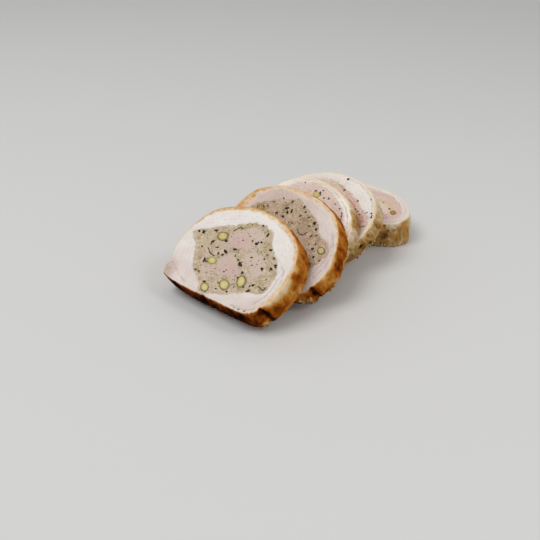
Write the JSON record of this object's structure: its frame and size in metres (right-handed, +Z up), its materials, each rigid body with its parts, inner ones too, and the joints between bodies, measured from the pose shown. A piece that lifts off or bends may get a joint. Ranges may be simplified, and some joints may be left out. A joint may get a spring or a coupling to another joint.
{
  "type": "sliced chicken galantine",
  "caption": "Row of cut galantine slices lying one on the next: pale poached meat with browned skin round a forcemeat filling with ham, pistachio and peppercorns.",
  "frame": {"origin": "centre of the row's bounding box at its lowest point, on the surface that it lies on", "axes": "+Y along the row, from the front slice to the one lying flat at the back; +X across the slices; +Z up"},
  "size_m": [0.0932, 0.1816, 0.052],
  "materials": {
    "breast_meat": "moist satin",
    "forcemeat": "moist, coarse",
    "pink_forcemeat": "moist, fine",
    "ham": "moist satin",
    "pistachio": "satin"
  },
  "bodies": {
    "root": {"slice_1_filling": "forcemeat", "slice_1_ham_1": "ham", "slice_1_ham_2": "ham", "slice_1_ham_3": "ham", "slice_1_meat": "breast_meat", "slice_1_pistachio_1": "pistachio", "slice_1_pistachio_2": "pistachio", "slice_1_pistachio_3": "pistachio", "slice_1_pistachio_4": "pistachio", "slice_1_pistachio_5": "pistachio", "slice_2_filling": "forcemeat", "slice_2_ham_1": "ham", "slice_2_meat": "breast_meat", "slice_2_pistachio_1": "pistachio", "slice_2_pistachio_2": "pistachio", "slice_3_filling": "pink_forcemeat", "slice_3_meat": "breast_meat", "slice_3_pistachio_1": "pistachio", "slice_4_filling": "forcemeat", "slice_4_ham_1": "ham", "slice_4_meat": "breast_meat", "slice_5_filling": "forcemeat", "slice_5_ham_1": "ham", "slice_5_meat": "breast_meat", "slice_5_pistachio_1": "pistachio"}
  },
  "joints": []
}
